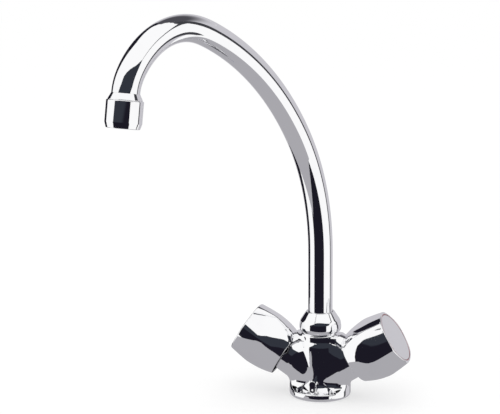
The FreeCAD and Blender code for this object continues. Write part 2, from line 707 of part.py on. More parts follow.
def spindle(side):
    """The foot that drives the moving disc, the shaft, and the spline for the handle."""
    shaft = rod(SPINDLE_RADIUS, SPINDLE_SHOULDER, SPLINE_BOTTOM)
    groove_low = SPINDLE_O_RING_HEIGHT - SPINDLE_O_RING_DEPTH / 2
    groove_high = groove_low + SPINDLE_O_RING_DEPTH
    groove_floor = SPINDLE_RADIUS - SPINDLE_O_RING_DEPTH
    shaft = shaft.cut(sleeve(SPINDLE_RADIUS, groove_floor, groove_low, groove_high))
    foot = rod(SPINDLE_FOOT_RADIUS, SPINDLE_BOTTOM, SPINDLE_SHOULDER)
    corner = FreeCAD.Vector(-2 * SPINDLE_FOOT_RADIUS, -WINDOW_WIDTH / 2, SPINDLE_BOTTOM)
    length = 2 * SPINDLE_FOOT_RADIUS
    foot = foot.cut(Part.makeBox(length, WINDOW_WIDTH, SPINDLE_FOOT_LENGTH / 2, corner))
    dogs = drive_dogs(SPINDLE_BOTTOM - SPINDLE_DOG_LENGTH, SPINDLE_SHOULDER, SPINDLE_DOG_RADIUS)
    whole = foot.fuse(dogs).fuse(shaft)
    whole = whole.fuse(splined_rod(SPINDLE_RADIUS, SPLINE_BOTTOM, SPINDLE_TOP))
    hole = rod(SCREW_RADIUS + FIT_GAP, SCREW_TIP - OPEN_GAP, SPINDLE_TOP)
    return on_arm(whole.cut(hole).removeSplitter(), side)


def spindle_o_ring(side):
    """The O-ring that seals the spindle in its guide."""
    middle = SPINDLE_RADIUS - SPINDLE_O_RING_DEPTH / 2
    section = (SPINDLE_O_RING_DEPTH - FIT_GAP) / 2
    return on_arm(ring(middle, section, SPINDLE_O_RING_HEIGHT), side)


def spline_bush(side):
    """The sleeve between the handle's hub and the spindle's spline."""
    low = SPLINE_BOTTOM + FACE_GAP
    bush = rod(BUSH_RADIUS - FIT_GAP, low, SPINDLE_TOP)
    return on_arm(bush.cut(splined_rod(SPINDLE_RADIUS + FIT_GAP, low, SPINDLE_TOP)), side)


def handle_blank():
    """A turned barrel with flats cut round it, their edges rounded."""
    skirt_slope = math.atan2(BELLY_RADIUS - SKIRT_RADIUS, HANDLE_BELLY - HANDLE_SKIRT)
    rim_slope = math.atan2(BELLY_RADIUS - RIM_RADIUS, HANDLE_RIM - HANDLE_BELLY)
    reach = BELLY_ROUND * math.tan((skirt_slope + rim_slope) / 2)
    below = (BELLY_RADIUS - reach * math.sin(skirt_slope),
             HANDLE_BELLY - reach * math.cos(skirt_slope))
    centre = (below[0] - BELLY_ROUND * math.cos(skirt_slope),
              below[1] + BELLY_ROUND * math.sin(skirt_slope))
    barrel = turned(
        (0, HANDLE_SKIRT),
        (SKIRT_RADIUS, HANDLE_SKIRT),
        below,
        arc_step(centre, BELLY_ROUND, -math.degrees(skirt_slope), math.degrees(rim_slope)),
        (RIM_RADIUS, HANDLE_RIM),
        (0, HANDLE_RIM),
    )
    faceted = barrel.common(prism(HANDLE_FLATS, HANDLE_FLAT_DISTANCE, HANDLE_SKIRT, HANDLE_RIM,
                                  HANDLE_TURN))
    flat_edges = []
    for face in faceted.Faces:
        if isinstance(face.Surface, Part.Plane) and face.normalAt(0, 0).z ** 2 < 0.5:
            flat_edges.extend(face.Edges)
    return faceted.makeFillet(HANDLE_FLAT_ROUND, flat_edges)


def handle(side):
    """The hollow knob: blank, cavity with hub, end recess and screw pocket."""
    cavity = turned(
        (0, HANDLE_SKIRT),
        (SKIRT_BORE, HANDLE_SKIRT),
        (CAVITY_RADIUS, HANDLE_SKIRT + CAVITY_TAPER),
        (CAVITY_RADIUS, CAVITY_TOP),
        (0, CAVITY_TOP),
    )
    knob = handle_blank().cut(cavity)
    knob = knob.fuse(sleeve(BUSH_RADIUS + HUB_WALL, BUSH_RADIUS, HUB_BOTTOM, CAVITY_TOP))
    knob = knob.cut(rod(RECESS_RADIUS, RECESS_FLOOR, HANDLE_RIM))
    knob = knob.cut(rod(POCKET_RADIUS, POCKET_FLOOR, RECESS_FLOOR))
    knob = knob.cut(rod(SCREW_RADIUS + OPEN_GAP, CAVITY_TOP, POCKET_FLOOR))
    rim_edges = []
    for edge in knob.Edges:
        at_rim = edge.BoundBox.ZMin > HANDLE_RIM - FIT_GAP
        if at_rim and edge.BoundBox.XLength > 2 * RECESS_RADIUS + RIM_WALL:
            rim_edges.append(edge)
    return on_arm(knob.makeFillet(RIM_ROUND, rim_edges), side)


def handle_screw(side):
    """The cross-slotted screw that holds the knob on the spindle."""
    head_top = POCKET_FLOOR + SCREW_HEAD_HEIGHT
    screw = rod(SCREW_HEAD_RADIUS, POCKET_FLOOR, head_top)
    screw = screw.fuse(rod(SCREW_RADIUS, SCREW_TIP, POCKET_FLOOR)).removeSplitter()
    reach = 2 * SCREW_HEAD_RADIUS
    for turn in (0, 90):
        corner = FreeCAD.Vector(-reach / 2, -SCREW_SLOT_WIDTH / 2, head_top - SCREW_SLOT_DEPTH)
        slot = Part.makeBox(reach, SCREW_SLOT_WIDTH, SCREW_SLOT_DEPTH, corner)
        slot.rotate(FreeCAD.Vector(), FreeCAD.Vector(0, 0, 1), turn)
        inside = rod(SCREW_HEAD_RADIUS - SCREW_SLOT_WIDTH, head_top - SCREW_SLOT_DEPTH, head_top)
        screw = screw.cut(slot.common(inside))
    return on_arm(screw, side)


def index_ring(side):
    """The thin coloured ring round the cap."""
    return on_arm(sleeve(RING_OUTER, RING_INNER, RECESS_FLOOR, HANDLE_RIM - RING_SINK), side)


def handle_cap(side):
    """The slightly crowned cover in the handle's end, on its clip ring."""
    edge_height = HANDLE_RIM - RING_SINK
    low = edge_height - CAP_THICKNESS
    crown = edge_height + CAP_CROWN
    middle = (CAP_RADIUS / 2, edge_height + CAP_CROWN * 3 / 4)
    cap = turned(
        (0, low),
        (CAP_RADIUS, low),
        (CAP_RADIUS, edge_height),
        (middle, (0, crown)),
    )
    edges = [edge for edge in cap.Edges if abs(edge.BoundBox.ZMin - edge_height) < FIT_GAP]
    edges = [edge for edge in edges if edge.BoundBox.ZLength < FIT_GAP]
    cap = cap.makeFillet(CAP_EDGE_ROUND, edges)
    clip_radius = CAP_RADIUS - CAP_CLIP_STEP
    cap = cap.fuse(sleeve(clip_radius, clip_radius - CAP_CLIP_WALL, RECESS_FLOOR, low))
    return on_arm(cap.removeSplitter(), side)


SIDES = {"hot": 1, "cold": -1}
ARM_PARTS = {
    "seat_seal": seat_seal,
    "fixed_disc": fixed_disc,
    "headpart_body": headpart_body,
    "headpart_o_ring": headpart_o_ring,
    "moving_disc": moving_disc,
    "spindle": spindle,
    "spindle_o_ring": spindle_o_ring,
    "spline_bush": spline_bush,
    "handle": handle,
    "handle_screw": handle_screw,
    "index_ring": index_ring,
    "handle_cap": handle_cap,
}

parts = {
    "mixer_body": mixer_body(),
    "base_seal": seal_band(),
    "chain_eyelet": chain_eyelet(),
    "spout_nut": spout_nut(),
    "spout_slide_ring": spout_slide_ring(),
    "spout_bearing_washer": spout_bearing_washer(),
    "spout_foot": spout_foot(),
    "spout_o_ring_lower": spout_o_ring(0),
    "spout_o_ring_upper": spout_o_ring(1),
    "spout_tube": spout_tube(),
    "outlet_socket": outlet_socket(),
    "aerator_housing": aerator_housing(),
    "aerator_washer": aerator_washer(),
    "aerator_insert": aerator_insert(),
    "aerator_screen": aerator_screen(),
}
for name, side in SIDES.items():
    for piece, make in ARM_PARTS.items():
        parts[name + "_" + piece] = make(side)

os.makedirs("parts", exist_ok=True)
for node, shape in parts.items():
    shape.exportStep("parts/" + node + ".step")
    print(node, len(shape.Solids), "solid, volume", round(shape.Volume, 1))
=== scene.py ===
# %% [markdown]
# # A two handle kitchen faucet, dressed in Blender
#
# The construction is already solved: a frame of separate solids with real joints is
# loaded first, and nothing in it is moved. This script gives each visible piece the
# surface that a polisher and a plating bath would give it. Chrome has no colour of its
# own, so most of the work is smooth meshes and a studio that is worth mirroring.

# %% Load the fixed frame
import math

import bmesh
import bpy
import numpy
from mathutils import Matrix, Vector


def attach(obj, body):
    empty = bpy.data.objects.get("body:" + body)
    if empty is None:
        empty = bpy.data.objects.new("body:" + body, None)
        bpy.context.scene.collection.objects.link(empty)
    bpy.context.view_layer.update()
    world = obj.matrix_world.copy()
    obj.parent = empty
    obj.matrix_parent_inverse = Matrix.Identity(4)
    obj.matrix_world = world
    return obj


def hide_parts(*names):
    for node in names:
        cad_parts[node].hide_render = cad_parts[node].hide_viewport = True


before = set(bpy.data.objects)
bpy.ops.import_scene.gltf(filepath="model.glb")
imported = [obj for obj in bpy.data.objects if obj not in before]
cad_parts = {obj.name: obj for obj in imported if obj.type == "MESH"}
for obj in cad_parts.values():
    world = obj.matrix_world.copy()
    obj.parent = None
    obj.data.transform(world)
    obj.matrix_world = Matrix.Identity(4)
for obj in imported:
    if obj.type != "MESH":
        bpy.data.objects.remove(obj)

MM = 0.001
UPRIGHT = Matrix.Identity(4)
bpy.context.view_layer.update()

# %% [markdown]
# ## Shader maths as plain Python
#
# A shader tree is a drawing of a formula. Writing it as a formula is easier to read, so
# this class wraps one socket and lets Python's operators add the Math nodes. Every other
# node comes from its `node` method: settings first, then the values or links of its
# input sockets, then which output is wanted.

# %% A socket that can be added, subtracted and multiplied
class Wire:
    """A shader socket, or a new tree's start, that Python's operators work on."""

    def __init__(self, tree, socket=None):
        self.tree = tree
        self.socket = socket

    def node(self, kind, settings=None, values=None, out=0):
        made = self.tree.nodes.new(kind)
        for name, value in (settings or {}).items():
            setattr(made, name, value)
        for name, value in (values or {}).items():
            if isinstance(value, Wire):
                self.tree.links.new(value.socket, made.inputs[name])
            else:
                made.inputs[name].default_value = value
        return Wire(self.tree, made.outputs[out] if len(made.outputs) else None)

    def maths(self, operation, *terms):
        return self.node("ShaderNodeMath", {"operation": operation}, dict(enumerate(terms)))

    def __add__(self, other):
        return self.maths("ADD", self, other)

    def __sub__(self, other):
        return self.maths("SUBTRACT", self, other)

    def __rsub__(self, other):
        return self.maths("SUBTRACT", other, self)

    def __mul__(self, other):
        return self.maths("MULTIPLY", self, other)

    def clipped(self):
        return self.maths("MINIMUM", self.maths("MAXIMUM", self, 0.0), 1.0)

    __radd__ = __add__
    __rmul__ = __mul__


def new_material(name):
    """A material with an empty tree, ready to be written."""
    material = bpy.data.materials.new(name)
    material.use_nodes = True
    material.node_tree.nodes.clear()
    return material, Wire(material.node_tree)


# %% [markdown]
# ## The camera
#
# The camera was solved from the photograph together with the shape: where it stands, how
# it is turned and how long its lens is. It goes in first, because every later choice is
# judged through it.

# %% Put the camera where the photograph was taken from
CAMERA_PLACE = (0.287896, -1.050064, 0.344266)
CAMERA_YAW = -0.3147848
CAMERA_PITCH = -0.1841476
CAMERA_ROLL = -0.0065724
FOCAL_PIXELS = 1518.98
PHOTO_WIDTH = 500
SENSOR_WIDTH = 36.0
SIGHT_LIMIT = 50.0

forward = Vector((math.sin(CAMERA_YAW) * math.cos(CAMERA_PITCH),
                  math.cos(CAMERA_YAW) * math.cos(CAMERA_PITCH),
                  math.sin(CAMERA_PITCH)))
level_right = Vector((math.cos(CAMERA_YAW), -math.sin(CAMERA_YAW), 0.0))
level_up = level_right.cross(forward)
right = level_right * math.cos(CAMERA_ROLL) + level_up * math.sin(CAMERA_ROLL)
up = level_up * math.cos(CAMERA_ROLL) - level_right * math.sin(CAMERA_ROLL)

lens = bpy.data.cameras.new("photo_camera")
lens.sensor_width = SENSOR_WIDTH
lens.lens = FOCAL_PIXELS / PHOTO_WIDTH * SENSOR_WIDTH
lens.clip_end = SIGHT_LIMIT
camera = bpy.data.objects.new("photo_camera", lens)
bpy.context.scene.collection.objects.link(camera)
camera.matrix_world = (Matrix.Translation(CAMERA_PLACE)
                       @ Matrix((right, up, -forward)).transposed().to_4x4())
bpy.context.scene.camera = camera
print("lens", round(lens.lens, 1), "mm")

# %% [markdown]
# ## The studio
#
# A mirror finish only looks like metal when it has something dark to mirror beside
# something bright. The room is therefore white, and dark and grey flags stand round the
# faucet as a product photographer sets them. They are seen in the chrome and nowhere
# else. Each flag is given by directions from the faucet, in degrees: how far round from
# the camera, to the right, and how far up.

# %% The white room
scene = bpy.context.scene
scene.view_settings.view_transform = "Standard"
ROOM_LEVEL = 1.0
WHITE = (1.0, 1.0, 1.0, 1.0)
world = bpy.data.worlds.new("white_room")
scene.world = world
world.use_nodes = True
world.node_tree.nodes.clear()
room = Wire(world.node_tree)
room_light = room.node("ShaderNodeBackground", None, {"Color": WHITE, "Strength": ROOM_LEVEL})
room.node("ShaderNodeOutputWorld", None, {"Surface": room_light})
print("room level", ROOM_LEVEL)


def linked(name, data):
    """A new object of a mesh or a lamp, in the scene."""
    made = bpy.data.objects.new(name, data)
    scene.collection.objects.link(made)
    return made


# %% [markdown]
# ## The floor
#
# The photographer's paper is so bright that it vanishes, and only a soft shadow is left.
# A plain white floor would turn grey wherever less light falls. To the camera, half of
# this one's shade is therefore a glow, and only the other half takes the shadow.

# %% The floor: white to the camera, with the faucet's shadow
FLOOR_REACH = 8.0
FLOOR_SHADOW = 0.5


def floor_material():
    """White where it is seen, darkened only by the shadow that falls on it."""
    material, start = new_material("pale_floor")
    paper = start.node("ShaderNodeBsdfDiffuse", None, {"Color": WHITE})
    white = start.node("ShaderNodeEmission", None, {"Color": WHITE, "Strength": 1.0})
    camera_ray = start.node("ShaderNodeLightPath", out="Is Camera Ray")
    glossy_ray = start.node("ShaderNodeLightPath", out="Is Glossy Ray")
    clear_ray = start.node("ShaderNodeLightPath", out="Is Transmission Ray")
    shown = (camera_ray + glossy_ray + clear_ray).clipped()
    mix = start.node("ShaderNodeMixShader", None,
                     {0: shown * (1 - FLOOR_SHADOW), 1: paper, 2: white})
    start.node("ShaderNodeOutputMaterial", None, {"Surface": mix})
    return material


def sheet_mesh(name, corners):
    """A mesh of one flat face."""
    mesh = bpy.data.meshes.new(name)
    mesh.from_pydata([tuple(c) for c in corners], [], [tuple(range(len(corners)))])
    return mesh


half = FLOOR_REACH / 2
floor = linked("floor", sheet_mesh("floor", [(-half, -half, 0), (half, -half, 0),
                                             (half, half, 0), (-half, half, 0)]))
floor.data.materials.append(floor_material())
print("floor", FLOOR_REACH, "m")

# %% [markdown]
# ## The flags
#
# A dark shape in chrome is the picture of something dark in the room. Each shape's edge in
# the photograph was followed back along the mirrored ray, which tells where that thing's
# border stood. A flag could be a flat card, but its edges would then bend between its
# corners. These are curved like the inside of a ball, so a border stays where it is put.

# %% Flags that only the chrome sees
STUDIO_CENTRE = Vector((-0.03, -0.07, 0.15))
FLAG_DISTANCE = 1.6
FLAG_STEP = 4
FLAG_ROWS = 12
BEHIND_FLAG_DISTANCE = FLAG_DISTANCE * 1.02
FRONT_FADE = (0.33, 0.39)
BACK_FADE = (0.92, 1.40)
CAMERA_BEARING = math.atan2(CAMERA_PLACE[1], CAMERA_PLACE[0])


def direction(bearing, height):
    """A unit vector from degrees round from the camera and degrees up."""
    turn = CAMERA_BEARING + math.radians(bearing)
    rise = math.radians(height)
    return Vector((math.cos(turn) * math.cos(rise), math.sin(turn) * math.cos(rise),
                   math.sin(rise)))


def only_mirrored(piece):
    """Hides a stage piece from all but mirror rays."""
    piece.visible_camera = False
    piece.visible_diffuse = False
    piece.visible_transmission = False
    piece.visible_shadow = False


def plain_glow(name, shade):
    """A flat shade that no light changes, for a flag."""
    material, start = new_material(name)
    glow = start.node("ShaderNodeEmission", None, {"Color": (*shade, 1), "Strength": 1.0})
    start.node("ShaderNodeOutputMaterial", None, {"Surface": glow})
    return material


def fading_glow(name, low_shade, high_shade, heights):
    """A shade that fades to another between two heights, in metres."""
    low, high = heights
    material, start = new_material(name)
    here = start.node("ShaderNodeTexCoord", out="Object")
    height = start.node("ShaderNodeSeparateXYZ", None, {"Vector": here}, out="Z")
    share = start.node("ShaderNodeMapRange", {"interpolation_type": "SMOOTHSTEP"},
                       {"Value": height, "From Min": low, "From Max": high})
    colour = start.node("ShaderNodeMix", {"data_type": "RGBA"},
                        {"Factor": share, 6: (*low_shade, 1), 7: (*high_shade, 1)}, out=2)
    glow = start.node("ShaderNodeEmission", None, {"Color": colour, "Strength": 1.0})
    start.node("ShaderNodeOutputMaterial", None, {"Surface": glow})
    return material


def flag(name, finish, top, bottom, distance=FLAG_DISTANCE):
    """A curved screen between two borders, each a list of (bearing, height)."""
    corners = [bearing for bearing, _ in top + bottom]
    between = range(math.ceil(min(corners)), math.floor(max(corners)) + 1, FLAG_STEP)
    bearings = sorted(set(corners) | set(between))
    highs = numpy.interp(bearings, *zip(*top))
    lows = numpy.interp(bearings, *zip(*bottom))
    rows = FLAG_ROWS + 1
    points = []
    for bearing, low, high in zip(bearings, lows, highs):
        for row in range(rows):
            height = low + (high - low) * row / FLAG_ROWS
            points.append(tuple(STUDIO_CENTRE + direction(bearing, height) * distance))
    faces = [(column * rows + row, (column + 1) * rows + row,
              (column + 1) * rows + row + 1, column * rows + row + 1)
             for column in range(len(bearings) - 1) for row in range(FLAG_ROWS)]
    mesh = bpy.data.meshes.new(name)
    mesh.from_pydata(points, [], faces)
    mesh.materials.append(finish)
    only_mirrored(linked(name, mesh))


DARK = (0.0115, 0.0105, 0.018)
DUSK = (0.032, 0.036, 0.048)
DEEP = (0.05, 0.05, 0.058)
GLOOM = (0.075, 0.073, 0.085)
PALE = (0.585, 0.575, 0.61)
TABLE_GREY = (0.41, 0.405, 0.43)

flag("front_flag", fading_glow("front_flag", DARK, DUSK, FRONT_FADE),
     [(-60, 6), (-48, 16), (-39, 25), (-33, 38), (-19, 43.5), (1, 45), (21, 42), (38, 36.5),
      (50, 32), (60, 27)],
     [(-60, -30), (-54, -60), (36, -60), (36.5, 5), (50, 9), (60, 20)])
flag("seam_flag", plain_glow("seam_flag", DEEP),
     [(60, 28), (70, 32), (80, 35), (90, 41), (98, 45), (104, 47)],
     [(60, 26), (70, 28.5), (80, 30.5), (88, 34), (98, 36), (104, 34)])
flag("left_flag", plain_glow("left_flag", DARK),
     [(-160, 60), (-151, 50), (-141, 50), (-121, 54), (-116, 49), (-112, -36)],
     [(-160, 30), (-150, -42), (-112, -42)])
flag("right_flag", plain_glow("right_flag", DEEP), [(103, 55), (113, 55)],
     [(103, -36), (113, -36)])
flag("back_low", plain_glow("back_low", PALE), [(113, 28), (204, 28)], [(113, -26), (204, -26)])
flag("back_high", fading_glow("back_high", PALE, GLOOM, BACK_FADE),
     [(98, 42), (104, 55), (123, 66), (150, 70), (180, 70), (193, 64), (204, 57)],
     [(98, 36), (113, 28), (204, 28)], BEHIND_FLAG_DISTANCE)
print("flags stand", FLAG_DISTANCE, "m away")

# %% [markdown]
# ## The card under the faucet
#
# The undersides of the knobs and arms mirror the table, which is a calm grey in the
# photograph. The white floor would make them vanish, so it is hidden from mirror rays and
# a grey card lies a little below it instead.

# %% The grey card under the faucet that its undersides mirror
CARD_DROP = 0.12
CARD_FRONT = 0.30
CARD_LEFT = 0.36
CARD_RIGHT = 0.26
CARD_BACK = 0.7


def ground_card():
    """A level grey card; its edges are near, so that upright faces look past it."""
    toward = direction(0, 0)
    across = direction(90, 0)
    middle = Vector((0, 0, -CARD_DROP))
    corners = [middle + toward * CARD_FRONT - across * CARD_LEFT,
               middle + toward * CARD_FRONT + across * CARD_RIGHT,
               middle - toward * CARD_BACK + across * CARD_RIGHT,
               middle - toward * CARD_BACK - across * CARD_LEFT]
    card = linked("ground_card", sheet_mesh("ground_card", corners))
    card.data.materials.append(plain_glow("ground_card", TABLE_GREY))
    only_mirrored(card)


ground_card()
floor.visible_glossy = False
print("ground card", CARD_FRONT, "m in front")

# %% [markdown]
# ## The lamps
#
# The room lights the faucet from everywhere. Three weak softboxes give that light a little
# direction, so that the shadow under the foot has a middle. They are hidden from mirror
# rays, where they would show as bright squares.

# %% Soft lamps
LAMP_DISTANCE = 1.2


def softbox(name, bearing, height, size, watts):
    """A square lamp that points at the faucet."""
    lamp = bpy.data.lights.new(name, "AREA")
    lamp.shape = "SQUARE"
    lamp.size = size
    lamp.energy = watts
    made = linked(name, lamp)
    made.location = STUDIO_CENTRE + direction(bearing, height) * LAMP_DISTANCE
    made.rotation_mode = "QUATERNION"
    made.rotation_quaternion = (STUDIO_CENTRE - made.location).to_track_quat("-Z", "Y")
    made.visible_glossy = False
    made.visible_camera = False


softbox("top_softbox", bearing=20, height=70, size=0.9, watts=1.2)
softbox("left_softbox", bearing=-75, height=20, size=0.8, watts=0.6)
softbox("right_softbox", bearing=75, height=15, size=0.8, watts=0.6)
print("softboxes", LAMP_DISTANCE, "m away")

# %% [markdown]
# ## Finishes
#
# Chrome plate is thin and follows what lies under it. The casting under the body was
# polished by hand on a wheel, so its mirror has slow waves. The tube was drawn and then
# polished along its length. All of it has been touched, which leaves faint smears, a
# little duller and darker than the clean plate. Every finish is a formula on the point's
# place in the frame, so nothing has to be unwrapped.


# %% Helpers that all finishes share
def place_wire(start):
    """The point on the piece, in metres: each mesh is in the frame's own place."""
    return start.node("ShaderNodeTexCoord", out="Object")


def noise(start, scale, detail, roughness=0.5, squash=(1, 1, 1)):
    """Noise from 0 to 1 whose lumps are about 1/scale metres across."""
    stretched = start.node("ShaderNodeMapping", None,
                           {"Vector": place_wire(start), "Scale": squash})
    return start.node("ShaderNodeTexNoise", None,
                      {"Vector": stretched, "Scale": scale, "Detail": detail,
                       "Roughness": roughness})


def tint(start, amount, low, high):
    """A colour between two, by an amount from 0 to 1."""
    return start.node("ShaderNodeMix", {"data_type": "RGBA"},
                      {"Factor": amount, 6: (*low, 1), 7: (*high, 1)}, out=2)


def bump(start, height, depth):
    """Turns a height from 0 to 1 into a bent normal; depth is in metres."""
    return start.node("ShaderNodeBump", None,
                      {"Height": height, "Distance": depth, "Strength": 1.0})


def finish_surface(material, start, values):
    """Closes a tree with one Principled shader."""
    surface = start.node("ShaderNodeBsdfPrincipled", None, values)
    start.node("ShaderNodeOutputMaterial", None, {"Surface": surface})
    return material


# %% Chrome
CLEAN_PLATE = (0.955, 0.955, 0.965)
SMEARED_PLATE = (0.915, 0.915, 0.93)
PLATE_ROUGHNESS = 0.025
SMEAR_ROUGHNESS = 0.05
SMEAR_CONTRAST = 3.2
GRAIN_ROUGHNESS = 0.012
GRAIN_HEIGHT = 0.004


def chrome(name, wave_depth, wave_scale, grain_squash=(1, 1, 1)):
    """Mirror plate: slow waves, fine polishing grain and faint smears."""
    material, start = new_material(name)
    smears = noise(start, 38.0, 5.0, 0.62)
    smear_mask = ((smears - 0.5) * SMEAR_CONTRAST).clipped()
    grain = noise(start, 2600.0, 2.0, 0.6, grain_squash)
    waves = noise(start, wave_scale, 1.0, 0.4)
    return finish_surface(material, start, {
        "Base Color": tint(start, smear_mask, CLEAN_PLATE, SMEARED_PLATE),
        "Metallic": 1.0,
        "Roughness": PLATE_ROUGHNESS + smear_mask * SMEAR_ROUGHNESS + grain * GRAIN_ROUGHNESS,
        "Normal": bump(start, waves + grain * GRAIN_HEIGHT, wave_depth),
    })


cast_chrome = chrome("chrome_on_casting", 0.00012, 90.0)
drawn_chrome = chrome("chrome_on_tube", 0.00002, 60.0, (6, 6, 0.4))
knob_chrome = chrome("chrome_on_knobs", 0.00005, 70.0)
turned_chrome = chrome("chrome_on_turned_parts", 0.00001, 80.0, (1, 1, 8))
print("chrome finishes: 4")

# %% [markdown]
# ## Finishes that were never plated
#
# Inside are turned brass, black rubber, pale plastics and ground ceramic discs. The knobs'
# insides and end faces are painted near-black, as painted shade in their hollows. Little of
# it shows, but a part that is opened or turned has to look right too. Two recipes cover
# all of it: one for bare metal, and one for everything that was moulded or pressed.

# %% Bare metals, rubber, plastics and ceramic
SURFACE_DEPTH = 0.00001
TOOL_MARK_ROUGHNESS = 0.12
SKIN_ROUGHNESS = 0.15


def bare_metal(name, low, high, rough):
    """Bare metal: fine marks from the tool and a slightly uneven tone."""
    material, start = new_material(name)
    tone = noise(start, 120.0, 3.0)
    tool_marks = noise(start, 1400.0, 2.0, 0.6, (1, 1, 6))
    return finish_surface(material, start, {
        "Base Color": tint(start, tone, low, high),
        "Metallic": 1.0,
        "Roughness": rough + tool_marks * TOOL_MARK_ROUGHNESS,
        "Normal": bump(start, tool_marks, SURFACE_DEPTH),
    })


def moulded(name, low, high, rough, coat=0.0):
    """Rubber, plastic or fired ceramic: an even colour with a little mottle and grain."""
    material, start = new_material(name)
    mottle = noise(start, 260.0, 3.0)
    skin_grain = noise(start, 900.0, 3.0, 0.6)
    return finish_surface(material, start, {
        "Base Color": tint(start, mottle, low, high),
        "Roughness": rough + skin_grain * SKIN_ROUGHNESS,
        "Coat Weight": coat,
        "Normal": bump(start, skin_grain, SURFACE_DEPTH),
    })


brass = bare_metal("turned_brass", (0.72, 0.50, 0.22), (0.83, 0.62, 0.32), 0.22)
# painted shade: near-black metal for the knob's hollow inside and its end face
knob_hollow_shade = bare_metal("painted_shade_in_knob_hollow", (0.035, 0.035, 0.038), (0.06, 0.06, 0.064), 0.5)
steel = bare_metal("stainless_steel", (0.55, 0.55, 0.56), (0.66, 0.66, 0.67), 0.28)
rubber = moulded("black_rubber", (0.016, 0.016, 0.018), (0.030, 0.030, 0.033), 0.55)
acetal = moulded("natural_acetal", (0.78, 0.78, 0.75), (0.86, 0.86, 0.84), 0.38)
insert_plastic = moulded("pale_insert_plastic", (0.55, 0.57, 0.60), (0.66, 0.68, 0.70), 0.35)
alumina = moulded("lapped_alumina", (0.80, 0.79, 0.74), (0.88, 0.87, 0.83), 0.18)
hot_red = moulded("hot_index_red", (0.20, 0.03, 0.035), (0.30, 0.06, 0.07), 0.20, coat=0.8)
cold_blue = moulded("cold_index_blue", (0.02, 0.05, 0.20), (0.04, 0.10, 0.30), 0.20, coat=0.8)
print("bare finishes: 9")

# %% [markdown]
# ## Dress the solids
#
# Every solid gets a finish first, also those that a finer mesh stands in for further on.
# A hidden seal is dressed like a visible knob, so it looks right if the faucet is taken apart.
# The two arms hold the same pieces, so one list serves both and only the ring's colour
# differs.

# %% Give each solid its finish
NODE_FINISHES = {
    "base_seal": rubber,
    "chain_eyelet": cast_chrome,
    "spout_slide_ring": acetal,
    "spout_bearing_washer": acetal,
    "spout_foot": brass,
    "spout_o_ring_lower": rubber,
    "spout_o_ring_upper": rubber,
    "aerator_washer": rubber,
    "aerator_insert": insert_plastic,
    "aerator_screen": steel,
    "mixer_body": cast_chrome,
    "spout_nut": turned_chrome,
    "spout_tube": drawn_chrome,
    "outlet_socket": turned_chrome,
    "aerator_housing": turned_chrome,
}
ARM_FINISHES = {
    "seat_seal": rubber,
    "fixed_disc": alumina,
    "moving_disc": alumina,
    "headpart_body": brass,
    "headpart_o_ring": rubber,
    "spindle": brass,
    "spindle_o_ring": rubber,
    "spline_bush": acetal,
    "handle": knob_chrome,
    "handle_screw": steel,
    "handle_cap": knob_chrome,
}
for side, index_finish in (("hot", hot_red), ("cold", cold_blue)):
    for piece, finish in ARM_FINISHES.items():
        NODE_FINISHES[side + "_" + piece] = finish
    NODE_FINISHES[side + "_index_ring"] = index_finish
for node, finish in NODE_FINISHES.items():
    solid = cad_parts[node]
    solid.data.materials.clear()
    solid.data.materials.append(finish)
print("dressed", len(NODE_FINISHES), "solids")

# %% [markdown]
# ## Turned pieces
#
# The nut, the aerator and the outlet's end come off a lathe, so each is a closed outline
# swept round an axis. The solids already have these shapes. What the mesh adds is a soft
# radius on every edge, because no real edge is sharp and a mirror shows it as a thin
# bright line.


# %% Rounded outlines
ROUND_STEPS = 5
EDGE_SUPPORT = 0.06
LONGEST_FILLET = 0.45
LONGEST_SUPPORT = 0.04


def rounded(corners):
    """Rounds a closed outline: corners are (radius, height, fillet) in millimetres."""
    points = []
    for index, (x, z, fillet) in enumerate(corners):
        here = Vector((x, z))
        before = Vector(corners[index - 1][:2]) - here
        after = Vector(corners[(index + 1) % len(corners)][:2]) - here
        half_turn = before.angle(after) / 2
        reach = fillet / math.tan(half_turn)
        reach = min(reach, before.length * LONGEST_FILLET, after.length * LONGEST_FILLET)
        radius = reach * math.tan(half_turn)
        centre = here + (before.normalized() + after.normalized()).normalized() * (
            radius / math.sin(half_turn))
        first = here + before.normalized() * reach - centre
        last = here + after.normalized() * reach - centre
        support = min(EDGE_SUPPORT, before.length * LONGEST_SUPPORT,
                      after.length * LONGEST_SUPPORT)
        points.append(here + before.normalized() * (reach + support))
        for step in range(ROUND_STEPS + 1):
            points.append(centre + first.slerp(last, step / ROUND_STEPS) * radius)
        points.append(here + after.normalized() * (reach + support))
    return [tuple(point) for point in points]


# %% A closed outline swept round an axis
TURNED_SIDES = 192


def ring_faces(rings, sides):
    """The quads between neighbouring rings of points, the last joined to the first."""
    faces = []
    for ring in range(rings):
        following = (ring + 1) % rings
        for side in range(sides):
            turned_side = (side + 1) % sides
            faces.append((ring * sides + side, ring * sides + turned_side,
                          following * sides + turned_side, following * sides + side))
    return faces


def smooth_mesh(name, points, faces, place=UPRIGHT):
    """A smooth-shaded mesh from points in millimetres."""
    mesh = bpy.data.meshes.new(name)
    mesh.from_pydata([tuple(p) for p in points], [], faces)
    mesh.transform(place)
    mesh.transform(Matrix.Scale(MM, 4))
    build = bmesh.new()
    build.from_mesh(mesh)
    bmesh.ops.recalc_face_normals(build, faces=build.faces)
    build.to_mesh(mesh)
    build.free()
    mesh.shade_smooth()
    return mesh


def turned(name, outline, place=UPRIGHT, sides=TURNED_SIDES, shape=None):
    """Turns a closed outline; shape may bend the radius by angle and height."""
    points = []
    for radius, height in outline:
        for side in range(sides):
            angle = 2 * math.pi * side / sides
            reach = shape(radius, height, angle) if shape else radius
            points.append((reach * math.cos(angle), reach * math.sin(angle), height))
    return smooth_mesh(name, points, ring_faces(len(outline), sides), place)


def stand_in(name, mesh, body, node, finish):
    """Makes a mesh the visible form of a solid, on that solid's body."""
    made = linked(name, mesh)
    mesh.materials.append(finish)
    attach(made, body)
    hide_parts(node)


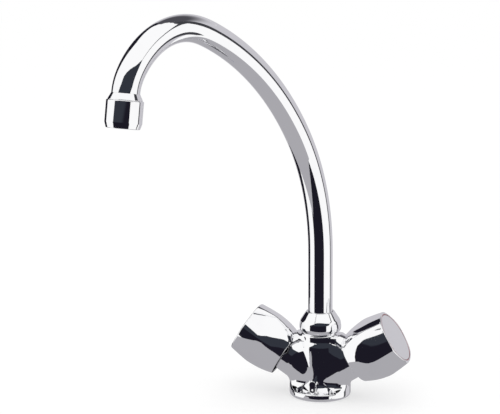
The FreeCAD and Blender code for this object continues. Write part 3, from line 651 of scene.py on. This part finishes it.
# %% [markdown]
# ## The union nut
#
# A plain nut would have six flats. This one is turned to a ball, swelling from the neck
# and drawing in again round the tube, and has no flat for a spanner. Two generous fillets
# make its belly and its shoulder, so a mirrored room wraps round it without a break.

# %% The spout nut
HAIR_EDGE = 0.1
FINE_EDGE = 0.2
SOFT_EDGE = 0.35
NUT = dict(bottom=46.3, belly=49.9, shoulder=56.4, top=63.5, slide=57.3)
NUT_RADII = dict(bottom=11.9, belly=15.6, shoulder=15.1, top=10.4, bore=10.45, throat=9.3)
BELLY_FILLET = 6.0
SHOULDER_FILLET = 7.5
nut_outline = rounded([
    (NUT_RADII["bore"], NUT["bottom"], FINE_EDGE),
    (NUT_RADII["bottom"], NUT["bottom"], SOFT_EDGE),
    (NUT_RADII["belly"], NUT["belly"], BELLY_FILLET),
    (NUT_RADII["shoulder"], NUT["shoulder"], SHOULDER_FILLET),
    (NUT_RADII["top"], NUT["top"], SOFT_EDGE),
    (NUT_RADII["throat"], NUT["top"], FINE_EDGE),
    (NUT_RADII["throat"], NUT["slide"], HAIR_EDGE),
    (NUT_RADII["bore"], NUT["slide"], HAIR_EDGE),
])
nut_mesh = turned("union_nut", nut_outline)
stand_in("union_nut", nut_mesh, "body", "spout_nut", turned_chrome)
print("nut points", len(nut_mesh.vertices))

# %% [markdown]
# ## The spout
#
# The tube was bent on several formers, one gentle and one tight, and the metal between
# them eases from one curve to the next. A curve object with handles could follow it, but
# not with real bend radii. The route is therefore written as how sharply it turns along
# its length, from bends that are each a radius in millimetres and a turn in degrees.
# Blurring that over a few millimetres gives the easing, and adding it up gives the
# centre line.

# %% The tube's centre line
SPOUT_HEADING = math.radians(247.7)
TUBE_START = 56.2
RISER_TOP = 108.4
LEAN_BEND = (161.5, 33.8)
REACH_BEND = (204.2, 35.2)
CROWN_BEND = (58.2, 78.6)
MOUTH_BEND = (25.6, 24.0)
BENDS = (LEAN_BEND, REACH_BEND, CROWN_BEND, MOUTH_BEND)
TUBE_RADIUS = 9.0
TUBE_BORE = 8.0
ROUTE_STEP = 0.25
EASE_LENGTH = 14.0


def bend_profile():
    """How sharply the route turns, per millimetre, at even steps along it."""
    stretches = [(RISER_TOP - TUBE_START, 0.0)]
    stretches += [(radius * math.radians(turn), 1.0 / radius) for radius, turn in BENDS]
    length = sum(stretch for stretch, _ in stretches)
    places = numpy.arange(0.0, length, ROUTE_STEP)
    ends = numpy.cumsum([stretch for stretch, _ in stretches])
    turns = numpy.array([sharp for _, sharp in stretches])
    return length, turns[numpy.searchsorted(ends, places).clip(0, len(BENDS))]


def eased(profile):
    """Blurs the profile with an even window, narrower near the two ends."""
    total = numpy.concatenate([[0.0], numpy.cumsum(profile)])
    count = len(profile)
    index = numpy.arange(count)
    reach = numpy.minimum(EASE_LENGTH / 2 / ROUTE_STEP, numpy.minimum(index, count - 1 - index))
    reach = reach.astype(int)
    return (total[index + reach + 1] - total[index - reach]) / (2 * reach + 1)


route_length, sharpness = bend_profile()
lean = numpy.cumsum(eased(sharpness)) * ROUTE_STEP
across = numpy.cumsum(numpy.sin(lean)) * ROUTE_STEP
rise = numpy.cumsum(numpy.cos(lean)) * ROUTE_STEP + TUBE_START
print("tube", round(route_length, 1), "mm; leans", round(math.degrees(lean[-1]), 1),
      "degrees at its end, reach", round(across[-1], 1), "mm, end height", round(rise[-1], 1))

# %% The tube itself
TUBE_SIDES = 128
RING_EVERY = 5
TUBE_SHARP_ANGLE = math.radians(40)


def tube_rings(radius, stations):
    """Rings of points square to the route, at the chosen stations."""
    heading = Vector((math.cos(SPOUT_HEADING), math.sin(SPOUT_HEADING), 0.0))
    side = Vector((-math.sin(SPOUT_HEADING), math.cos(SPOUT_HEADING), 0.0))
    points = []
    for station in stations:
        centre = heading * across[station] + Vector((0, 0, rise[station]))
        outward = heading * math.cos(lean[station]) - Vector((0, 0, math.sin(lean[station])))
        for index in range(TUBE_SIDES):
            angle = 2 * math.pi * index / TUBE_SIDES
            points.append(centre + (outward * math.cos(angle) + side * math.sin(angle)) * radius)
    return points


stations = list(range(0, len(lean), RING_EVERY))
if stations[-1] != len(lean) - 1:
    stations.append(len(lean) - 1)
tube_points = tube_rings(TUBE_RADIUS, stations) + tube_rings(TUBE_BORE, stations[::-1])
tube_mesh = smooth_mesh("bent_tube", tube_points, ring_faces(2 * len(stations), TUBE_SIDES))
stand_in("bent_tube", tube_mesh, "spout", "spout_tube", drawn_chrome)
tube_mesh.set_sharp_from_angle(angle=TUBE_SHARP_ANGLE)
print("tube rings", len(stations))

# %% [markdown]
# ## The outlet and its aerator
#
# The tube ends in a cone that widens to a thread, and the aerator's sleeve is screwed on
# below it. Both are turned pieces again, but they hang from the tube's end. Their outlines
# are drawn upright, with heights counted from where the tube stops, and one matrix lays
# them along the last stretch of the centre line.

# %% The outlet's end and its aerator
CONE = dict(start=0.0, end=4.3, shoulder=4.45, thread_end=10.9)
CONE_RADII = dict(bore=8.0, start=9.02, end=11.2, thread=10.4, seat=8.5)
SLEEVE = dict(top=4.35, ledge=13.9, lip=20.15, taper=18.35, end=21.95)
SLEEVE_RADII = dict(bore=10.45, outside=11.8, end=10.7, lip=8.9, ledge=9.5)
outlet_lean = math.radians(sum(turn for _, turn in BENDS))
heading_turn = Matrix.Rotation(SPOUT_HEADING, 4, "Z")
outlet_place = (heading_turn
                @ Matrix.Translation((across[-1], 0, rise[-1]))
                @ Matrix.Rotation(outlet_lean, 4, "Y"))
cone_outline = rounded([
    (CONE_RADII["bore"], CONE["start"], HAIR_EDGE),
    (CONE_RADII["start"], CONE["start"], HAIR_EDGE),
    (CONE_RADII["end"], CONE["end"], SOFT_EDGE),
    (CONE_RADII["thread"], CONE["shoulder"], HAIR_EDGE),
    (CONE_RADII["thread"], CONE["thread_end"], FINE_EDGE),
    (CONE_RADII["seat"], CONE["thread_end"], FINE_EDGE),
    (CONE_RADII["seat"], CONE["end"], FINE_EDGE),
])
cone_mesh = turned("outlet_cone", cone_outline, outlet_place)
stand_in("outlet_cone", cone_mesh, "spout", "outlet_socket", turned_chrome)
sleeve_outline = rounded([
    (SLEEVE_RADII["bore"], SLEEVE["top"], 0.15),
    (SLEEVE_RADII["outside"], SLEEVE["top"], 0.6),
    (SLEEVE_RADII["outside"], SLEEVE["taper"], 1.5),
    (SLEEVE_RADII["end"], SLEEVE["end"], 0.5),
    (SLEEVE_RADII["lip"], SLEEVE["end"], 0.3),
    (SLEEVE_RADII["lip"], SLEEVE["lip"], HAIR_EDGE),
    (SLEEVE_RADII["ledge"], SLEEVE["lip"], HAIR_EDGE),
    (SLEEVE_RADII["ledge"], SLEEVE["ledge"], HAIR_EDGE),
    (SLEEVE_RADII["bore"], SLEEVE["ledge"], HAIR_EDGE),
])
sleeve_mesh = turned("aerator_sleeve", sleeve_outline, outlet_place)
stand_in("aerator_sleeve", sleeve_mesh, "spout", "aerator_housing", turned_chrome)
print("outlet at", [round(v, 1) for v in outlet_place.translation])

# %% [markdown]
# ## The knobs
#
# Each knob starts as a turned barrel. Six flats are then ground along it, and because the
# barrel swells in the middle, each flat comes out as a lens. Cutting with boxes would
# leave hard edges that a bevel can't follow evenly. The mesh uses one formula instead: at
# every angle the radius is the smaller of the barrel's and the flat's, joined softly,
# since the polishing wheel rounds the edges and crowns the flats a little. The inside and
# the end face are painted near-black, as painted shade in the knob's hollow.

# %% The knob's formula
ARM_RISE = math.radians(32.2)
ARM_START = 12.05
FLATS = 6
FLAT_DISTANCE = 21.0
FLAT_SOFTNESS = 3.6
FLAT_CROWN_LONG = 0.7
FLAT_CROWN_WIDE = 0.5
FLAT_MIDDLE = 52.0
FLAT_HALF_LENGTH = 18.0
KNOB_TURN = math.radians(44.6)
KNOB = dict(skirt=31.5, middle=41.5, inner_slope=45.5, hub=49.0, belly=51.4, cavity=60.0,
            pocket=62.0, recess=64.4, rim=67.4)
OUTER_LIMIT = 17.0
SKIRT_EDGE = 0.6


def softly_smaller(first, second, softness):
    """The smaller of two numbers, with a rounded change from one to the other."""
    gap = max(softness - abs(first - second), 0.0) / softness
    return min(first, second) - gap * gap * softness / 4


def knob_shape(radius, height, angle):
    """The barrel's radius, ground away by the nearest flat."""
    on_end_face = height < KNOB["skirt"] + SKIRT_EDGE and radius < OUTER_LIMIT + SKIRT_EDGE
    if radius < OUTER_LIMIT or on_end_face:
        return radius
    pitch = 2 * math.pi / FLATS
    from_flat = (angle - KNOB_TURN) % pitch - pitch / 2
    from_middle = (height - FLAT_MIDDLE) / FLAT_HALF_LENGTH
    ground = (FLAT_DISTANCE - FLAT_CROWN_LONG * from_middle ** 2) / math.cos(from_flat)
    ground -= FLAT_CROWN_WIDE * (from_flat / (pitch / 2)) ** 2
    return softly_smaller(radius, ground, FLAT_SOFTNESS)


def on_arm(side):
    """The matrix that lays an upright part along the hot (+1) or cold (-1) arm."""
    return (Matrix.Translation((0, 0, ARM_START))
            @ Matrix.Rotation(side * (math.pi / 2 - ARM_RISE), 4, "Y"))


# %% The knob's outline, from the skirt over the rim and back inside
KNOB_RADII = dict(skirt_bore=15.8, skirt=18.0, middle=21.9, belly=24.1, rim=20.8, recess=18.9,
                  pocket=5.0, screw=1.9, hub_bore=5.4, hub=6.6, inside=17.3)
MIDDLE_ROUND = 80.0
BELLY_ROUND = 12.0
RIM_ROUND = 1.0
LONGEST_STEP = 0.8


def filled(outline, longest):
    """Adds points along long straight stretches, so that a shape can bend them."""
    points = []
    for index, here in enumerate(outline):
        there = outline[(index + 1) % len(outline)]
        points.append(here)
        gap = math.dist(here, there)
        for step in range(1, int(gap / longest) + 1):
            share = step / (int(gap / longest) + 1)
            points.append((here[0] + (there[0] - here[0]) * share,
                           here[1] + (there[1] - here[1]) * share))
    return points


knob_outline = filled(rounded([
    (KNOB_RADII["skirt_bore"], KNOB["skirt"], 0.25),
    (KNOB_RADII["skirt"], KNOB["skirt"], 0.45),
    (KNOB_RADII["middle"], KNOB["middle"], MIDDLE_ROUND),
    (KNOB_RADII["belly"], KNOB["belly"], BELLY_ROUND),
    (KNOB_RADII["rim"], KNOB["rim"], RIM_ROUND),
    (KNOB_RADII["recess"], KNOB["rim"], FINE_EDGE),
    (KNOB_RADII["recess"], KNOB["recess"], FINE_EDGE),
    (KNOB_RADII["pocket"], KNOB["recess"], HAIR_EDGE),
    (KNOB_RADII["pocket"], KNOB["pocket"], HAIR_EDGE),
    (KNOB_RADII["screw"], KNOB["pocket"], HAIR_EDGE),
    (KNOB_RADII["screw"], KNOB["cavity"], HAIR_EDGE),
    (KNOB_RADII["hub_bore"], KNOB["cavity"], HAIR_EDGE),
    (KNOB_RADII["hub_bore"], KNOB["hub"], HAIR_EDGE),
    (KNOB_RADII["hub"], KNOB["hub"], HAIR_EDGE),
    (KNOB_RADII["hub"], KNOB["cavity"], 0.3),
    (KNOB_RADII["inside"], KNOB["cavity"], 0.5),
    (KNOB_RADII["inside"], KNOB["inner_slope"], 2.0),
]), LONGEST_STEP)


# %% Make both knobs
KNOB_SIDES = 288
END_FACE_LIMIT = KNOB_RADII["skirt"] - 0.3
SAME_HEIGHT = 0.01


def hidden_rings(outline):
    """Marks the outline's stretches inside the knob and on its end face, which get painted
    shade.
    """
    past_rim = [height for _, height in outline].index(max(height for _, height in outline))
    marks = []
    for index, (radius, height) in enumerate(outline):
        inside = index > past_rim and height < KNOB["cavity"] + SAME_HEIGHT
        end_face = radius < END_FACE_LIMIT and height < KNOB["skirt"] + HAIR_EDGE
        marks.append(inside or end_face)
    return marks


hidden = hidden_rings(knob_outline)
for side_name, side in (("hot", 1), ("cold", -1)):
    knob_mesh = turned(side_name + "_knob", knob_outline, on_arm(side), KNOB_SIDES, knob_shape)
    stand_in(side_name + "_knob", knob_mesh, side_name + "_handle", side_name + "_handle",
             knob_chrome)
    # the second slot is painted shade: near-black on the knob's inside and end face
    knob_mesh.materials.append(knob_hollow_shade)
    for face in knob_mesh.polygons:
        face.material_index = int(hidden[face.index // KNOB_SIDES])
print("knob outline points", len(knob_outline))

# %% [markdown]
# ## The body
#
# The casting is one flowing form: a foot, a column and two arms that melt into it. Such a
# form is easiest to write as a distance: at any point in space, how far outside the metal
# it lies. Two distances can be joined with a fillet by a short formula, where a bevel on
# a joined mesh would fail at such crossings. The surface is where the distance is zero,
# and a skin of small squares is pulled onto it.


# %% Distances that join with a fillet
LEAST_OPENED = 0.01


def length2(first, second):
    """The length of the hypotenuse, point by point."""
    return numpy.sqrt(first * first + second * second)


def joined(first, second, fillet):
    """The union of two distances, with a concave fillet where they meet."""
    return (numpy.maximum(fillet, numpy.minimum(first, second))
            - length2(numpy.maximum(fillet - first, 0), numpy.maximum(fillet - second, 0)))


def trimmed(first, second, fillet):
    """The common part of two distances, with a rounded outer edge."""
    return -joined(-first, -second, fillet)


def facing(form, points, nudge=0.02):
    """The direction in which a distance grows fastest at each point."""
    here = form(points)
    slope = numpy.stack([form(points + nudge * step[:, None]) - here for step in numpy.eye(3)])
    return slope / (numpy.sqrt((slope ** 2).sum(0)) + 1e-12)


def opened(first_facing, second_facing, most):
    """How far a fillet reaches: 1 at a square corner, 0 where two faces run on smoothly."""
    aligned = numpy.clip((first_facing * second_facing).sum(0), -1, 1)
    share = (1 - numpy.sqrt((1 + aligned) / 2)) / (1 - math.sqrt(0.5))
    return numpy.clip(share, 0, most) + LEAST_OPENED


# %% The casting's parts as distances
FOOT_RADIUS = 22.7
FOOT_WALL = 5.4
FOOT_BOTTOM_ROUND = 2.2
FOOT_TOP_ROUND = 1.0
FOOT_BLEND = 7.0
FOOT_BLEND_MOST = 1.7
SIDE_BLEND = 6.0
COLUMN_RADIUS = 14.5
COLUMN_TOP = 39.6
NECK_RADIUS = 12.5
NECK_BASE = 42.1
NECK_TOP = 46.0
NECK_FILLET = 0.8
NECK_EDGE = 0.4
SHOULDER_ROUND = 1.2
ARM_RADIUS = 12.8
ARM_ROOT_RADIUS = 13.8
ARM_TAPER = 27.0
ARM_LENGTH = 34.3
ARM_EDGE = 0.5
ARM_BLEND = 14.0
ARM_BLEND_MOST = 1.2
UPWARD = numpy.array([0.0, 0.0, 1.0])[:, None]


def column_distance(points):
    """The column, its shoulder and the neck under the nut."""
    out, z = length2(points[0], points[1]), points[2]
    drop, rise_up = COLUMN_RADIUS - NECK_RADIUS, NECK_BASE - COLUMN_TOP
    slant = math.hypot(drop, rise_up)
    shoulder = ((out - COLUMN_RADIUS) * rise_up + (z - COLUMN_TOP) * drop) / slant
    column = trimmed(out - COLUMN_RADIUS, shoulder, SHOULDER_ROUND)
    neck = joined(column, out - NECK_RADIUS, NECK_FILLET)
    return trimmed(neck, z - NECK_TOP, NECK_EDGE)


def arm_distance(points, side):
    """One arm, a little wider towards its root."""
    along = numpy.array([side * math.cos(ARM_RISE), 0.0, math.sin(ARM_RISE)])
    from_start = points - numpy.array([0.0, 0.0, ARM_START])[:, None]
    reach = numpy.tensordot(along, from_start, 1)
    out = numpy.sqrt(((from_start - along[:, None] * reach) ** 2).sum(0))
    share = numpy.clip(1 - reach / ARM_TAPER, 0, 1)
    radius = ARM_RADIUS + (ARM_ROOT_RADIUS - ARM_RADIUS) * share ** 2
    return numpy.maximum(trimmed(out - radius, reach - ARM_LENGTH, ARM_EDGE), -reach)


def arms_distance(points):
    """Both arms."""
    return numpy.minimum(arm_distance(points, 1), arm_distance(points, -1))


def radially_out(points):
    """The level direction away from the axis."""
    out = length2(points[0], points[1]) + 1e-9
    return numpy.stack([points[0] / out, points[1] / out, 0 * out])


def fillet_sizes(points):
    """How large the three fillets are at each point."""
    column_facing = facing(column_distance, points)
    arms_facing = facing(arms_distance, points)
    nearer = column_distance(points) < arms_distance(points)
    upper_facing = numpy.where(nearer, column_facing, arms_facing)
    return (ARM_BLEND * opened(column_facing, arms_facing, ARM_BLEND_MOST),
            FOOT_BLEND * opened(upper_facing, UPWARD, FOOT_BLEND_MOST),
            SIDE_BLEND * opened(arms_facing, radially_out(points), ARM_BLEND_MOST))


def body_distance(points, fillets):
    """The whole casting: what stands up, the foot that it flows into, and the trim."""
    out, z = length2(points[0], points[1]), points[2]
    upper = joined(column_distance(points), arms_distance(points), fillets[0])
    spread = joined(upper, z - FOOT_WALL, fillets[1])
    foot = trimmed(spread, out - FOOT_RADIUS, FOOT_TOP_ROUND)
    whole = joined(upper, foot, fillets[2])
    return trimmed(whole, -z, FOOT_BOTTOM_ROUND)


# %% A skin of small squares round the casting
CELL = 1.0
CELL_COUNTS = (89, 53, 52)
GRID_CORNER = numpy.array([-44.5, -26.5, -2.5])
PULL_NUDGE = 0.01
LONGEST_PULL = 0.6


def square_skin():
    """The outer faces of the cells whose middles lie in the metal."""
    grid = numpy.indices(CELL_COUNTS).reshape(3, -1) * CELL + GRID_CORNER[:, None] + CELL / 2
    inside = (body_distance(grid, fillet_sizes(grid)) < 0).reshape(CELL_COUNTS)
    corners, faces = {}, []
    for axis in range(3):
        ahead = numpy.roll(inside, -1, axis)
        for cell in numpy.argwhere(inside != ahead):
            base = cell.copy()
            base[axis] += 1
            first, second = numpy.eye(3, dtype=int)[[(axis + 1) % 3, (axis + 2) % 3]]
            ring = [base, base + first, base + first + second, base + second]
            if not inside[tuple(cell)]:
                ring.reverse()
            faces.append([corners.setdefault(tuple(corner), len(corners)) for corner in ring])
    places = numpy.array(list(corners)) * CELL + GRID_CORNER
    mesh = bpy.data.meshes.new("casting_skin")
    mesh.from_pydata(places.tolist(), [], faces)
    return mesh


def mesh_points(mesh):
    """A mesh's points as three rows of numbers."""
    flat = numpy.empty(len(mesh.vertices) * 3, numpy.float32)
    mesh.vertices.foreach_get("co", flat)
    return flat.reshape(-1, 3).T.astype(float)


def pull(mesh, pulls):
    """Moves a mesh's points along the distance's slope until they lie on the surface."""
    points = mesh_points(mesh)
    for _ in range(pulls):
        fillets = fillet_sizes(points)
        here = body_distance(points, fillets)
        nudged = [body_distance(points + PULL_NUDGE * step[:, None], fillets)
                  for step in numpy.eye(3)]
        slope = numpy.stack([(there - here) / PULL_NUDGE for there in nudged])
        steep = (slope ** 2).sum(0) + 1e-6
        points = points - slope * numpy.clip(here, -LONGEST_PULL, LONGEST_PULL) / steep
    mesh.vertices.foreach_set("co", points.T.astype(numpy.float32).ravel())
    return float(abs(here).max())


def reshape(mesh, work):
    """Runs bmesh work on a mesh."""
    build = bmesh.new()
    build.from_mesh(mesh)
    work(build)
    build.to_mesh(mesh)
    build.free()


def relax(build):
    """Evens out the spacing of the points."""
    bmesh.ops.smooth_vert(build, verts=build.verts, factor=0.5, use_axis_x=True,
                          use_axis_y=True, use_axis_z=True)


def halve(build):
    """Cuts each square into four."""
    bmesh.ops.subdivide_edges(build, edges=build.edges, cuts=1, use_grid_fill=True)


COARSE_ROUNDS = 5
FINE_ROUNDS = 2
ROUND_PULLS = 2
LAST_PULLS = 4

skin = square_skin()
for _ in range(COARSE_ROUNDS):
    reshape(skin, relax)
    pull(skin, ROUND_PULLS)
reshape(skin, halve)
for _ in range(FINE_ROUNDS):
    reshape(skin, relax)
    pull(skin, ROUND_PULLS)
miss = pull(skin, LAST_PULLS)
casting = linked("body_casting", skin)
print("casting points", len(skin.vertices), "worst miss", round(miss, 4), "mm")

# %% [markdown]
# ## The casting's bores
#
# The real casting is drilled from four sides: above for the spout's plug, along each arm
# for a headpart, and below for the two supplies and the fixing stud. A Boolean modifier
# with a cylinder does what the drill does. All of them are set at once, and the result is
# read back as one mesh, so no modifier is left behind.

# %% Bore the casting
CUT_OVERRUN = 1.0
BORE_SIDES = 64
BODY_SHARP_ANGLE = math.radians(35)
PLUG_BORE = dict(radius=8.05, floor=36.3)
MIXING_BORE = dict(radius=7.0, floor=24.0, top=36.4)
HEADPART_BORE = dict(radius=10.2, floor=16.7)
INLET = dict(radius=4.46, depth=9.0, aside=8.5, forward=3.0)
STUD_HOLE = dict(radius=3.4, depth=12.0, back=12.0)


def cutter(radius, low, high, place=UPRIGHT):
    """A closed cylinder for boring, given in millimetres."""
    mesh = bpy.data.meshes.new("bore")
    build = bmesh.new()
    bmesh.ops.create_cone(build, cap_ends=True, segments=BORE_SIDES, radius1=radius,
                          radius2=radius, depth=high - low)
    build.to_mesh(mesh)
    build.free()
    mesh.transform(Matrix.Translation((0, 0, (low + high) / 2)))
    mesh.transform(Matrix.Scale(MM, 4) @ place)
    return linked("bore", mesh)


def all_bores():
    """A cutter for each bore: the spout's, the stud's, the headparts' and the inlets'."""
    stud_place = Matrix.Translation((0, STUD_HOLE["back"], 0))
    cutters = [
        cutter(PLUG_BORE["radius"], PLUG_BORE["floor"], NECK_TOP + CUT_OVERRUN),
        cutter(MIXING_BORE["radius"], MIXING_BORE["floor"], MIXING_BORE["top"]),
        cutter(STUD_HOLE["radius"], -CUT_OVERRUN, STUD_HOLE["depth"], stud_place),
    ]
    for side in (1, -1):
        inlet_place = Matrix.Translation((side * INLET["aside"], -INLET["forward"], 0))
        cutters.append(cutter(HEADPART_BORE["radius"], HEADPART_BORE["floor"],
                              ARM_LENGTH + CUT_OVERRUN, on_arm(side)))
        cutters.append(cutter(INLET["radius"], -CUT_OVERRUN, INLET["depth"], inlet_place))
    return cutters


skin.transform(Matrix.Scale(MM, 4))
bores = all_bores()
for bore in bores:
    cut = casting.modifiers.new("bore", "BOOLEAN")
    cut.operation = "DIFFERENCE"
    cut.solver = "MANIFOLD"
    cut.object = bore
bpy.context.view_layer.update()
bored_mesh = bpy.data.meshes.new_from_object(
    casting.evaluated_get(bpy.context.evaluated_depsgraph_get()))
casting.modifiers.clear()
for bore in bores:
    bpy.data.objects.remove(bore)
casting.data = bored_mesh
bored_mesh.name = "body_casting"
bored_mesh.shade_smooth()
bored_mesh.set_sharp_from_angle(angle=BODY_SHARP_ANGLE)
bored_mesh.materials.clear()
bored_mesh.materials.append(cast_chrome)
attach(casting, "body")
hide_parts("mixer_body")
print("bored casting faces", len(bored_mesh.polygons))
